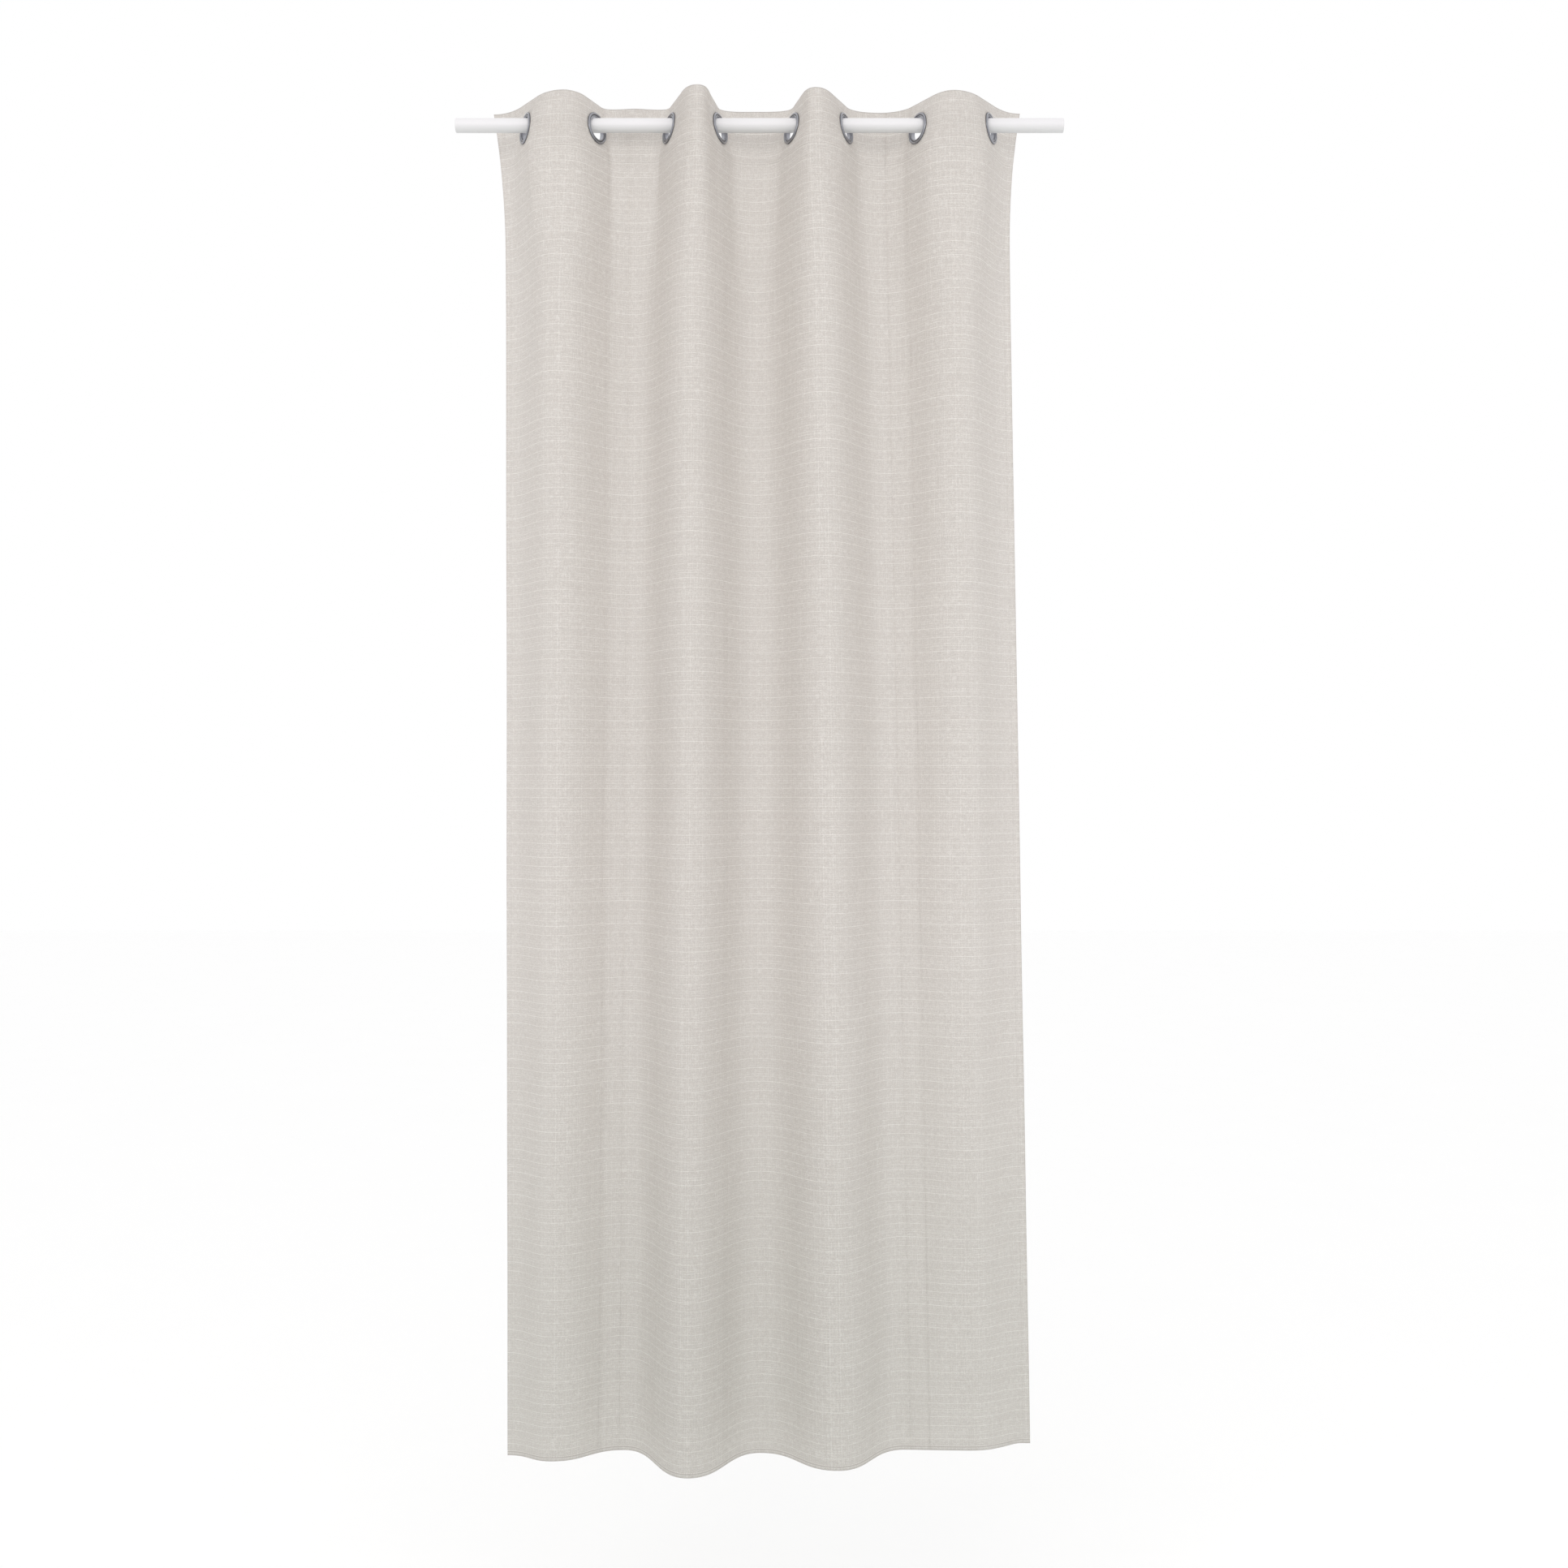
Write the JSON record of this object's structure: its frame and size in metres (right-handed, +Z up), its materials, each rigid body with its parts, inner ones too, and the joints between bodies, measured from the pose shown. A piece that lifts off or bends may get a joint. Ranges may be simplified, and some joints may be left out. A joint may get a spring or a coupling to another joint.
{
  "type": "eyelet curtain on a rod",
  "caption": "Linen-look eyelet curtain panel hanging in soft folds on a plain round white rod; it slides along the rod and its folds gather",
  "frame": {"origin": "the middle of the rod, on its axis", "axes": "+X runs along the rod to the right as seen from the room, +Y points away from the room towards the window, +Z is up"},
  "size_m": [1.07, 0.1771, 2.3993],
  "materials": {
    "rod": "satin white paint on a solid round pole",
    "cloth": "plain-woven pale greige linen look with slubs",
    "header_tape": "stiff woven header tape",
    "eyelet": "satin silver grey with a brighter collar"
  },
  "bodies": {
    "rod": {"rod": "rod"},
    "left_fold": {"cloth_1": "cloth", "cloth_2": "cloth", "header_tape_1": "header_tape", "header_tape_2": "header_tape", "eyelet_1_front": "eyelet", "eyelet_1_back": "eyelet", "eyelet_2_front": "eyelet", "eyelet_2_back": "eyelet"},
    "flank_a": {"cloth_3": "cloth", "header_tape_3": "header_tape"},
    "flank_b": {"cloth_4": "cloth", "header_tape_4": "header_tape", "eyelet_3_front": "eyelet", "eyelet_3_back": "eyelet"},
    "flank_c": {"cloth_5": "cloth", "header_tape_5": "header_tape", "eyelet_4_front": "eyelet", "eyelet_4_back": "eyelet"},
    "flank_d": {"cloth_6": "cloth", "header_tape_6": "header_tape", "eyelet_5_front": "eyelet", "eyelet_5_back": "eyelet"},
    "flank_e": {"cloth_7": "cloth", "header_tape_7": "header_tape", "eyelet_6_front": "eyelet", "eyelet_6_back": "eyelet"},
    "flank_f": {"cloth_8": "cloth", "header_tape_8": "header_tape"},
    "right_fold": {"cloth_9": "cloth", "cloth_10": "cloth", "header_tape_9": "header_tape", "header_tape_10": "header_tape", "eyelet_7_front": "eyelet", "eyelet_7_back": "eyelet", "eyelet_8_front": "eyelet", "eyelet_8_back": "eyelet"}
  },
  "joints": [
    {"name": "curtain_slide", "type": "slide", "parent": "rod", "child": "left_fold", "axis": [1, 0, 0], "range_m": [-0.07, 0.07]},
    {"name": "gather", "type": "hinge", "parent": "left_fold", "child": "flank_a", "pos_m": [-0.288, 0, 0], "axis": [0, 0, 1], "range_deg": [0, 22]},
    {"name": "rear_fold_1", "type": "hinge", "parent": "flank_a", "child": "flank_b", "pos_m": [-0.223, 0.0425, 0], "axis": [0, 0, -1], "range_deg": [0, 44]},
    {"name": "front_fold_1", "type": "hinge", "parent": "flank_b", "child": "flank_c", "pos_m": [-0.1145, -0.066, 0], "axis": [0, 0, 1], "range_deg": [0, 44]},
    {"name": "rear_fold_2", "type": "hinge", "parent": "flank_c", "child": "flank_d", "pos_m": [-0.0065, 0.048, 0], "axis": [0, 0, -1], "range_deg": [0, 44]},
    {"name": "front_fold_2", "type": "hinge", "parent": "flank_d", "child": "flank_e", "pos_m": [0.1045, -0.05, 0], "axis": [0, 0, 1], "range_deg": [0, 44]},
    {"name": "rear_fold_3", "type": "hinge", "parent": "flank_e", "child": "flank_f", "pos_m": [0.2155, 0.052, 0], "axis": [0, 0, -1], "range_deg": [0, 44]},
    {"name": "right_turn", "type": "hinge", "parent": "flank_f", "child": "right_fold", "pos_m": [0.28, 0, 0], "axis": [0, 0, 1], "range_deg": [0, 22]}
  ],
  "couplings": [
    {"joint": "rear_fold_1", "follows": "gather", "ratio": 2},
    {"joint": "front_fold_1", "follows": "gather", "ratio": 2},
    {"joint": "rear_fold_2", "follows": "gather", "ratio": 2},
    {"joint": "front_fold_2", "follows": "gather", "ratio": 2},
    {"joint": "rear_fold_3", "follows": "gather", "ratio": 2},
    {"joint": "right_turn", "follows": "gather", "ratio": 1}
  ]
}
